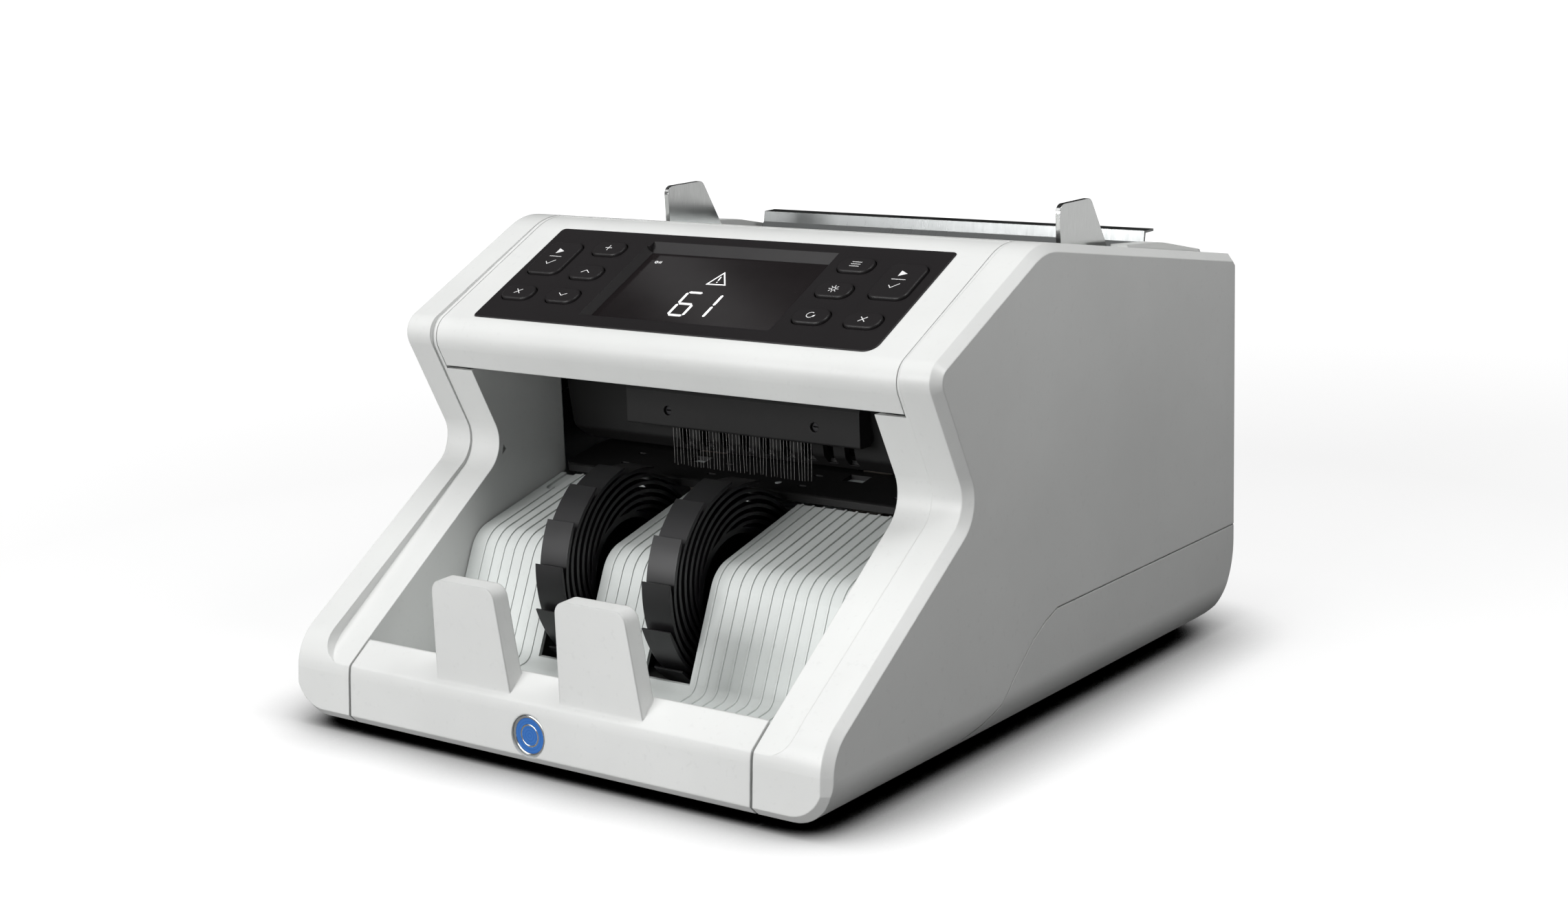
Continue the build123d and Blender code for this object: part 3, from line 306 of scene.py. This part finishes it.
NODE_LOOK = {
    "shell": ["left_side_panel", "right_side_panel", "upper_housing", "top_cover"],
    "tray": ["front_tray"], "base": ["base_housing", "rear_door"], "ramp": ["stacker_ramp"],
    "panel": ["control_panel"],
    "key": [node for node in NODES if node.startswith("key_") and node != "key_board"] + ["power_rocker"],
    "inner": ["exit_plate", "back_cover", "brush_bar", "hopper_tray", "lower_path_guide",
              "upper_path_guide", "retard_bracket", "display_module"],
    "blade": ["left_stacker_wheel", "right_stacker_wheel"], "socket": ["power_inlet", "power_switch"],
    "guide": ["left_note_guide", "right_note_guide"], "plate": ["hopper_rear_plate"],
    "chassis": ["left_chassis_plate", "right_chassis_plate"],
    "shaft": ["stacker_shaft", "transport_shaft", "feed_shaft", "motor_rotor", "guide_rail"],
    "supply": ["power_supply"], "bronze": ["shaft_bushings"], "motor": ["drive_motor"],
    "screw": ["brush_screws"], "foot": ["rubber_feet"],
    "roller": ["transport_rollers", "pinch_rollers", "feed_rollers", "retard_rollers"],
    "belt": ["drive_belts"], "window": ["display_window"], "board": ["key_board", "main_board"],
    "fibre": ["brush_bristles"], "badge": ["front_badge"], "sensor": ["sensor_windows"],
}
for look, members in NODE_LOOK.items():
    for node in members:
        NODES[node].data.materials.clear()
        NODES[node].data.materials.append(LOOKS[look])
unpainted = set(NODES) - {node for members in NODE_LOOK.values() for node in members}
if unpainted:
    raise SystemExit(f"no look is given for {sorted(unpainted)}")


# ---- placing detail on the CAD ------------------------------------------
def vertices(node):
    data = NODES[node].data
    found = np.zeros(len(data.vertices) * 3)
    data.vertices.foreach_get("co", found)
    return found.reshape(-1, 3)


class Face:
    """The flat face of a node that looks along a normal: its middle, size and in-plane axes."""

    def __init__(self, node, normal, across=(1.0, 0.0, 0.0)):
        self.normal = Vector(normal).normalized()
        self.across = Vector(across).normalized()
        self.up = self.normal.cross(self.across).normalized()
        points = vertices(node)
        depth = points @ np.array(self.normal)
        top = points[depth > depth.max() - 2e-5]
        sides = [top @ np.array(axis) for axis in (self.across, self.up)]
        middle = [(side.max() + side.min()) / 2 for side in sides]
        self.size = [side.max() - side.min() for side in sides]
        self.middle = self.across * middle[0] + self.up * middle[1] + self.normal * depth.max()

    def at(self, x, s, height=0.0):
        """Point x and s from the middle of the face and height above it, all in metres."""
        return self.middle + self.across * x + self.up * s + self.normal * height


def make_piece(name, mesh, look, body):
    piece = bpy.data.objects.new(name, mesh)
    bpy.context.scene.collection.objects.link(piece)
    mesh.materials.append(LOOKS[look])
    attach(piece, body)
    return piece


INK_SUNK, INK_PROUD = 0.03 * MM, 0.045 * MM


def ribbon_outline(points, width, closed=False, caps=True):
    """Outline of a stroke with mitred corners and round ends, as 2-D points."""
    points = [Vector(p) for p in points]
    count = len(points)
    left, right = [], []
    for i, point in enumerate(points):
        before = points[i - 1] if (i or closed) else None
        after = points[(i + 1) % count] if (i < count - 1 or closed) else None
        ways = [(point - before).normalized()] if before is not None else []
        ways += [(after - point).normalized()] if after is not None else []
        way = sum(ways, Vector((0, 0))).normalized()
        side = Vector((-way.y, way.x))
        reach = width / 2 / max(0.35, side.dot(Vector((-ways[0].y, ways[0].x))))
        left.append(point + side * reach)
        right.append(point - side * reach)
    if closed:
        return left, right
    outline = list(left)
    if caps:
        outline += arc_cap(points[-1], points[-1] - points[-2], width / 2)
    outline += reversed(right)
    if caps:
        outline += arc_cap(points[0], points[0] - points[1], width / 2)
    return outline, None


def arc_cap(centre, way, radius, steps=5):
    heading = math.atan2(way.y, way.x)
    turns = [heading + math.pi / 2 - math.pi * (i + 1) / (steps + 1) for i in range(steps)]
    return [centre + Vector((math.cos(turn), math.sin(turn))) * radius for turn in turns]


def stroke(mesh, face, points, width, closed=False, lift=0.0):
    """Adds one printed stroke to a bmesh, standing a hair proud of the face. Points are in millimetres."""
    outline, inner = ribbon_outline(points, width, closed)
    loops = [outline] if inner is None else [outline, inner]
    rings = []
    for loop in loops:
        tops = [mesh.verts.new(face.at(p.x * MM, p.y * MM, INK_PROUD + lift)) for p in loop]
        lows = [mesh.verts.new(face.at(p.x * MM, p.y * MM, -INK_SUNK)) for p in loop]
        rings.append((tops, lows))
    for tops, lows in rings:
        for i in range(len(tops)):
            j = (i + 1) % len(tops)
            mesh.faces.new((tops[i], tops[j], lows[j], lows[i]))
    if inner is None:
        mesh.faces.new(rings[0][0])
        mesh.faces.new(list(reversed(rings[0][1])))
    else:
        for level in (0, 1):
            first, second = rings[0][level], rings[1][level]
            for i in range(len(first)):
                j = (i + 1) % len(first)
                mesh.faces.new((first[i], first[j], second[j], second[i]))


def filled(mesh, face, corners, lift=0.0):
    """Adds one filled printed shape to a bmesh. Corners are in millimetres."""
    tops = [mesh.verts.new(face.at(x * MM, y * MM, INK_PROUD + lift)) for x, y in corners]
    lows = [mesh.verts.new(face.at(x * MM, y * MM, -INK_SUNK)) for x, y in corners]
    mesh.faces.new(tops)
    mesh.faces.new(list(reversed(lows)))
    for i in range(len(tops)):
        j = (i + 1) % len(tops)
        mesh.faces.new((tops[i], tops[j], lows[j], lows[i]))


def circle_points(x, y, radius, start=0.0, turn=360.0, steps=20):
    return [(x + radius * math.cos(math.radians(start + turn * i / steps)),
             y + radius * math.sin(math.radians(start + turn * i / steps))) for i in range(steps + 1)]


def finished_mesh(name, made):
    bmesh.ops.recalc_face_normals(made, faces=made.faces)
    mesh = bpy.data.meshes.new(name)
    made.to_mesh(mesh)
    made.free()
    return mesh


# ---- legends on the keys -------------------------------------------------
LEGEND_LINE, LEGEND_FINE = 0.33, 0.28


def legend_start(mesh, face):
    filled(mesh, face, [(-1.5, 2.6), (1.7, 4.3), (-1.5, 6.0)])
    stroke(mesh, face, [(-2.9, 0.6), (2.9, 0.6)], LEGEND_FINE)
    stroke(mesh, face, [(-1.9, -3.3), (-0.6, -4.7), (2.0, -2.0)], LEGEND_LINE)


def legend_clear(mesh, face):
    stroke(mesh, face, [(-1.3, -1.3), (1.3, 1.3)], LEGEND_LINE)
    stroke(mesh, face, [(-1.3, 1.3), (1.3, -1.3)], LEGEND_LINE, lift=2e-6)


def legend_add(mesh, face):
    stroke(mesh, face, [(-1.5, 0.0), (1.5, 0.0)], LEGEND_LINE)
    stroke(mesh, face, [(0.0, -1.5), (0.0, 1.5)], LEGEND_LINE, lift=2e-6)


def legend_chevron(mesh, face, way):
    stroke(mesh, face, [(-1.9, -0.75 * way), (0.0, 0.75 * way), (1.9, -0.75 * way)], LEGEND_LINE)


def legend_batch(mesh, face):
    for y in (-1.3, 0.0, 1.3):
        stroke(mesh, face, [(-2.0, y), (2.0, y)], LEGEND_FINE)


def legend_lamp(mesh, face):
    ring = circle_points(0.0, 0.0, 0.85)[:-1]
    stroke(mesh, face, ring, LEGEND_FINE, closed=True)
    for k in range(8):
        turn = math.radians(45 * k)
        stroke(mesh, face, [(1.35 * math.cos(turn), 1.35 * math.sin(turn)),
                            (2.05 * math.cos(turn), 2.05 * math.sin(turn))], LEGEND_FINE)


def legend_auto(mesh, face):
    stroke(mesh, face, circle_points(0.0, 0.0, 1.55, 60.0, 285.0), LEGEND_FINE)
    filled(mesh, face, [(1.1, -0.1), (2.15, 0.25), (1.75, -1.25)], lift=2e-6)


LEGENDS = {
    "key_start_left": legend_start, "key_start_right": legend_start,
    "key_clear_left": legend_clear, "key_clear_right": legend_clear,
    "key_add": legend_add, "key_batch": legend_batch, "key_lamp": legend_lamp, "key_auto": legend_auto,
    "key_up": lambda mesh, face: legend_chevron(mesh, face, 1),
    "key_down": lambda mesh, face: legend_chevron(mesh, face, -1),
}
PANEL_NORMAL = -Vector(JOINTS["key_up_press"]["axis"])
for key, draw in LEGENDS.items():
    made = bmesh.new()
    draw(made, Face(key, PANEL_NORMAL))
    name = f"legend_{key[4:]}"
    make_piece(name, finished_mesh(name, made), "ink", f"{key}_body")

# ---- lit figures behind the display window ------------------------------
SEGMENT_W, SEGMENT_GAP = 1.15, 0.3
DIGIT_LOW, DIGIT_W, DIGIT_H = -14.7, 6.9, 14.7
SEGMENTS = {
    "top": ((0, 1), (1, 1)), "upper_left": ((0, 0.5), (0, 1)), "upper_right": ((1, 0.5), (1, 1)),
    "middle": ((0, 0.5), (1, 0.5)), "lower_left": ((0, 0), (0, 0.5)), "lower_right": ((1, 0), (1, 0.5)),
    "bottom": ((0, 0), (1, 0)),
}


def digit(mesh, face, left, lit):
    """Seven-segment figure: each lit bar has its ends cut to a shallow point."""
    for name in lit:
        (x0, y0), (x1, y1) = SEGMENTS[name]
        start = Vector((left + x0 * DIGIT_W, DIGIT_LOW + y0 * DIGIT_H))
        end = Vector((left + x1 * DIGIT_W, DIGIT_LOW + y1 * DIGIT_H))
        way = (end - start).normalized()
        side = Vector((-way.y, way.x)) * SEGMENT_W / 2
        a, b = start + way * SEGMENT_GAP, end - way * SEGMENT_GAP
        tip = way * SEGMENT_W * 0.45
        corners = (a, a + tip + side, b - tip + side, b, b - tip - side, a + tip - side)
        filled(mesh, face, [(p.x, p.y) for p in corners])


made = bmesh.new()
window = Face("display_window", PANEL_NORMAL)
digit(made, window, -9.9, ("top", "upper_left", "middle", "lower_left", "lower_right", "bottom"))
digit(made, window, -0.4, ("upper_right", "lower_right"))
stroke(made, window, [(-2.1, 13.7), (-5.3, 5.9), (3.1, 6.1)], 0.5, closed=True)
stroke(made, window, [(-1.85, 10.8), (-1.7, 8.7)], 0.5)
filled(made, window, circle_points(-1.6, 7.5, 0.3, steps=8)[:-1])
stroke(made, window, circle_points(-37.9, 17.6, 0.62)[:-1], 0.22, closed=True)
for k in range(2):
    stroke(made, window, [(-36.4 + 0.8 * k, 17.0), (-36.4 + 0.8 * k, 18.2)], 0.22)
make_piece("display_figures", finished_mesh("display_figures", made), "lit", STATIC)

# ---- brush fibres ---------------------------------------------------------
FIBRES, FIBRE_SIDES, FIBRE_STEPS = 42, 6, 10
FIBRE_ROOT, FIBRE_TIP = 0.075 * MM, 0.055 * MM


def fibre(mesh, root, tip, bow, phase):
    """One tapering fibre from root to tip, with a slow wave across it."""
    rings = []
    for i in range(FIBRE_STEPS + 1):
        t = i / FIBRE_STEPS
        middle = root.lerp(tip, t)
        middle.x += bow * math.sin(math.pi * 1.5 * t + phase) * t
        middle.y += 0.6 * bow * math.sin(math.pi * t + phase * 1.7) * t
        radius = FIBRE_ROOT + (FIBRE_TIP - FIBRE_ROOT) * t
        rings.append([mesh.verts.new(middle + Vector((math.cos(2 * math.pi * k / FIBRE_SIDES),
                                                      math.sin(2 * math.pi * k / FIBRE_SIDES), 0)) * radius)
                      for k in range(FIBRE_SIDES)])
    for lower, upper in zip(rings, rings[1:]):
        for k in range(FIBRE_SIDES):
            j = (k + 1) % FIBRE_SIDES
            mesh.faces.new((lower[k], lower[j], upper[j], upper[k]))
    mesh.faces.new(rings[-1])
    mesh.faces.new(list(reversed(rings[0])))


random.seed(17)
low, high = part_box("brush_bristles")
made = bmesh.new()
for i in range(FIBRES):
    share = (i + random.uniform(-0.12, 0.12)) / (FIBRES - 1)
    x = low.x + (high.x - low.x) * min(1.0, max(0.0, share))
    depth = (low.y + high.y) / 2
    tip_x = x + random.gauss(0.0, 0.16) * MM
    tip = Vector((tip_x, depth + random.uniform(-0.3, 0.3) * MM, low.z + abs(random.gauss(0.0, 0.35)) * MM))
    fibre(made, Vector((x, depth, high.z)), tip, random.uniform(0.04, 0.16) * MM, random.uniform(0, 6.28))
fibres = make_piece("brush_fibres", finished_mesh("brush_fibres", made), "fibre", STATIC)
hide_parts("brush_bristles")

# ---- badge rim ------------------------------------------------------------
RIM_STEPS = 72
RIM_PROFILE = ((0.0, -0.5), (0.0, 0.25), (0.18, 0.5), (0.55, 0.62), (0.95, 0.5), (1.15, 0.15), (1.15, -0.5))


def badge_rim():
    """Turned rim round the disc, and a plain ring inside it."""
    low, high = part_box("front_badge")
    centre = (low + high) / 2
    outer = (high.x - low.x) / 2 / MM
    made = bmesh.new()
    for start, scale, height in ((outer, -1.0, 0.0), (outer * 0.56, -0.62, -0.18)):
        rings = []
        for k in range(RIM_STEPS):
            turn = 2 * math.pi * k / RIM_STEPS
            ring = []
            for inward, proud in RIM_PROFILE:
                radius = (start + inward * scale) * MM
                y = low.y - (proud * abs(scale) + height) * 0.55 * MM
                ring.append(made.verts.new((centre.x + radius * math.cos(turn), y,
                                            centre.z + radius * math.sin(turn))))
            rings.append(ring)
        for k in range(RIM_STEPS):
            first, second = rings[k], rings[(k + 1) % RIM_STEPS]
            for i in range(len(RIM_PROFILE)):
                j = (i + 1) % len(RIM_PROFILE)
                made.faces.new((first[i], first[j], second[j], second[i]))
    mesh = finished_mesh("badge_rim", made)
    for polygon in mesh.polygons:
        polygon.use_smooth = True
    return make_piece("badge_rim", mesh, "guide", STATIC)


badge_rim()

# ---- studio ----------------------------------------------------------------
CAMERA_AT = Vector((565.3, -754.6, 293.9)) * MM
CAMERA_YAW, CAMERA_PITCH, CAMERA_ROLL = (math.radians(angle) for angle in (36.71, 12.48, 2.0))
CAMERA_LENS, SENSOR = 56.51, 36.0


def make_camera():
    flat = math.cos(CAMERA_PITCH)
    forward = Vector((-math.sin(CAMERA_YAW) * flat, math.cos(CAMERA_YAW) * flat, -math.sin(CAMERA_PITCH)))
    level = Vector((math.cos(CAMERA_YAW), math.sin(CAMERA_YAW), 0.0))
    down = forward.cross(level)
    right = level * math.cos(CAMERA_ROLL) + down * math.sin(CAMERA_ROLL)
    below = down * math.cos(CAMERA_ROLL) - level * math.sin(CAMERA_ROLL)
    data = bpy.data.cameras.new("camera")
    data.lens, data.sensor_width = CAMERA_LENS, SENSOR
    data.clip_start, data.clip_end = 0.02, 60.0
    camera = bpy.data.objects.new("camera", data)
    turn = Matrix((right, -below, -forward)).transposed().to_4x4()
    camera.matrix_world = Matrix.Translation(CAMERA_AT) @ turn
    bpy.context.scene.collection.objects.link(camera)
    bpy.context.scene.camera = camera


def softbox(name, place, aim, width, height, watts):
    data = bpy.data.lights.new(name, "AREA")
    data.shape, data.size, data.size_y, data.energy = "RECTANGLE", width, height, watts
    lamp = bpy.data.objects.new(name, data)
    place, aim = Vector(place), Vector(aim)
    lamp.matrix_world = Matrix.Translation(place) @ (place - aim).to_track_quat("Z", "Y").to_matrix().to_4x4()
    bpy.context.scene.collection.objects.link(lamp)
    return lamp


PAINTED_SHADOW_REACH, PAPER_LIT, PAPER_THROWN, PAPER_GLOW = 0.045, 0.40, 0.22, 0.62


def floor_material():
    """Seamless white paper: bright where it is seen, dim where it lights the object, with a painted contact
    shadow close under it.
    """
    tree = Tree("studio_paper")
    fleck = tree.noise(6.0, 3.0, 0.5)
    # Painted contact shadow: an occlusion node turns the paper's colour and glow black near the object. It
    # stands in for the shade under and beside it.
    near = tree.add("ShaderNodeAmbientOcclusion", {"samples": 24}, Distance=PAINTED_SHADOW_REACH).outputs["AO"]
    outside_painted_shadow = tree.ranged(near, 0.0, 1.0, 0.30, 0.93)
    away = tree.add("ShaderNodeVectorMath", {"operation": "LENGTH"})
    tree.feed(away, 0, tree.place)
    away = away.outputs["Value"]
    paths = tree.add("ShaderNodeLightPath").outputs
    seen, bounced = paths["Is Camera Ray"], paths["Is Diffuse Ray"]
    reflected = tree.math("SUBTRACT", tree.math("SUBTRACT", 1.0, seen), bounced)
    paper = tree.mix(fleck, rgb(PAPER_LIT), rgb(PAPER_LIT * 1.02))
    # The camera-seen paper colour goes to black inside the painted contact shadow, and the glow below is
    # dimmed by the same painted shadow.
    shown = tree.mix(outside_painted_shadow, (0.0, 0.0, 0.0, 1), paper)
    seen_glow = tree.math("MULTIPLY", outside_painted_shadow, tree.ranged(away, PAPER_GLOW, 1.1, 0.45, 1.5))
    reflected_glow = tree.math("MULTIPLY", tree.ranged(away, 0.0, 0.7, 0.45, 1.5),
                               tree.ranged(away, 1.0, 0.0, 2.0, 3.5))
    glow = tree.math("ADD", tree.math("MULTIPLY", seen, seen_glow),
                     tree.math("MULTIPLY", reflected, reflected_glow))
    tree.set(Base_Color=tree.mix(seen, rgb(PAPER_THROWN), shown), Roughness=0.9, Specular_IOR_Level=0.0,
             Emission_Color=(1.0, 1.0, 1.0, 1.0), Emission_Strength=glow)
    return tree.material


def make_floor():
    """Floor sheet that curves up far behind the object."""
    made = bmesh.new()
    half, bend, rise, steps = 9.0, 6.0, 3.0, 16
    line = [(-half, 0.0)] + [(bend + rise * math.sin(math.pi / 2 * i / steps),
                              rise * (1 - math.cos(math.pi / 2 * i / steps))) for i in range(steps + 1)]
    line.append((bend + rise, rise + 4.0))
    rows = [[made.verts.new((x, y, z)) for x in (-half, half)] for y, z in line]
    for first, second in zip(rows, rows[1:]):
        made.faces.new((first[0], first[1], second[1], second[0]))
    mesh = finished_mesh("studio_floor", made)
    mesh.materials.append(floor_material())
    for polygon in mesh.polygons:
        polygon.use_smooth = True
    floor = bpy.data.objects.new("studio_floor", mesh)
    floor.rotation_euler.z = CAMERA_YAW
    bpy.context.scene.collection.objects.link(floor)


make_camera()
make_floor()
softbox("key_light", (-0.95, -1.25, 1.55), (0.0, 0.0, 0.06), 1.3, 1.0, 5.0)
softbox("front_light", (-0.35, -1.55, 0.5), (0.0, 0.0, 0.08), 1.2, 0.5, 21.5)
softbox("top_light", (0.05, -0.1, 1.7), (0.0, 0.0, 0.08), 1.0, 1.0, 16.0).visible_glossy = False
softbox("side_light", (0.55, 0.0, 0.72), (0.125, 0.0, 0.17), 0.3, 0.3, 2.6)
softbox("window_card", (-0.70, 0.36, 0.95), (0.0, -0.04, 0.16), 0.05, 0.5, 0.03)

ROOM_TONE = (0.045, 0.0455, 0.046, 1.0)
world = bpy.data.worlds.new("studio_world")
world.use_nodes = True
world.node_tree.nodes["Background"].inputs["Color"].default_value = ROOM_TONE
bpy.context.scene.world = world
bpy.context.scene.view_settings.view_transform = "Standard"
